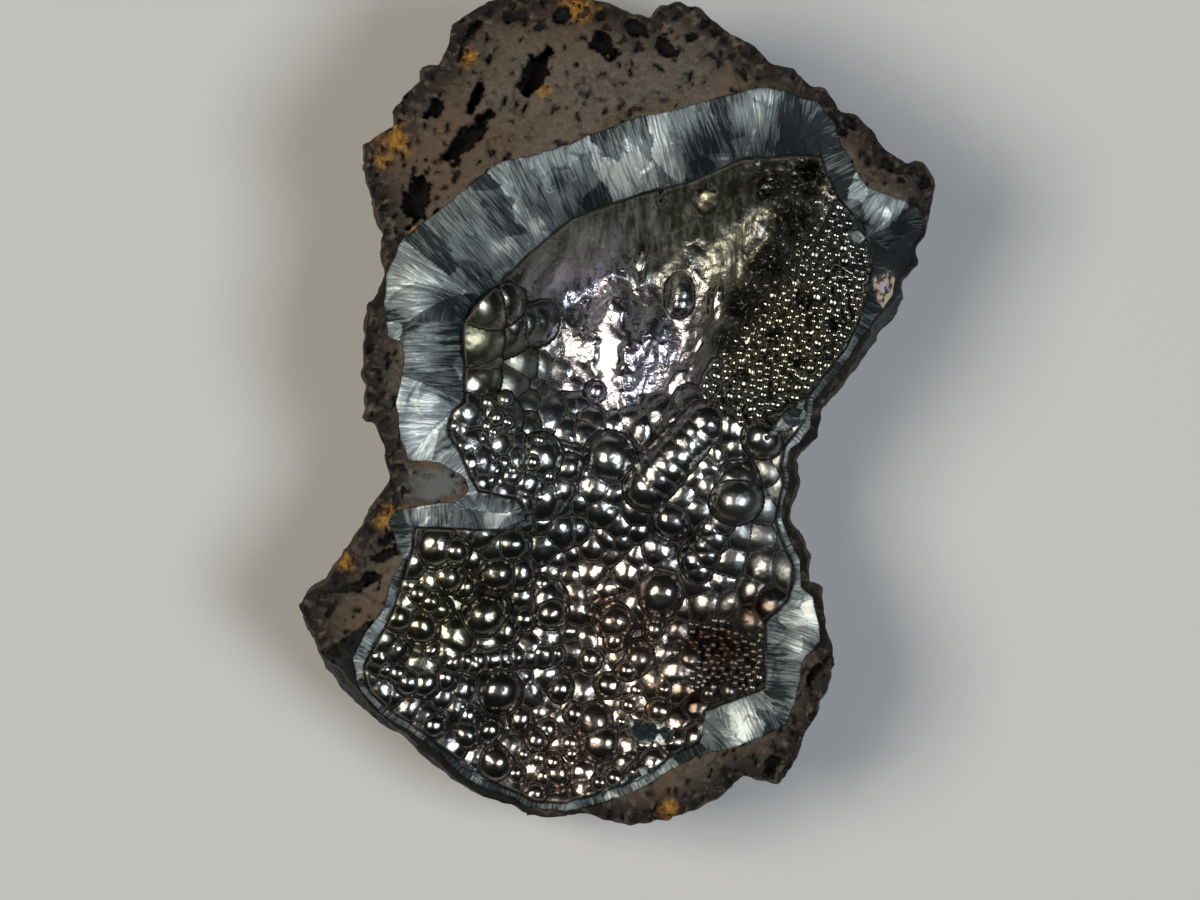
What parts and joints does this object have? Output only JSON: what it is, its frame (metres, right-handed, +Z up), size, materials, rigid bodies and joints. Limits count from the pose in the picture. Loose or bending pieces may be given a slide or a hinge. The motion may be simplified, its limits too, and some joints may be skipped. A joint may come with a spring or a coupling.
{
  "type": "goethite mineral specimen",
  "caption": "Goethite hand specimen: a black metallic botryoidal crust with a fibrous broken edge, lining the hollow of a pitted brown rock. Lies on its back.",
  "frame": {"origin": "centre of the bounding box's base, on the surface that the specimen rests on", "axes": "+Z up out of the hollow, towards the viewer of the picture; +Y towards the picture's top; +X towards its right"},
  "size_m": [0.0954, 0.1241, 0.0425],
  "materials": {
    "matrix": "rough",
    "crust": "polished"
  },
  "bodies": {
    "root": {"matrix": "matrix", "botryoidal_crust": "crust"}
  },
  "joints": []
}
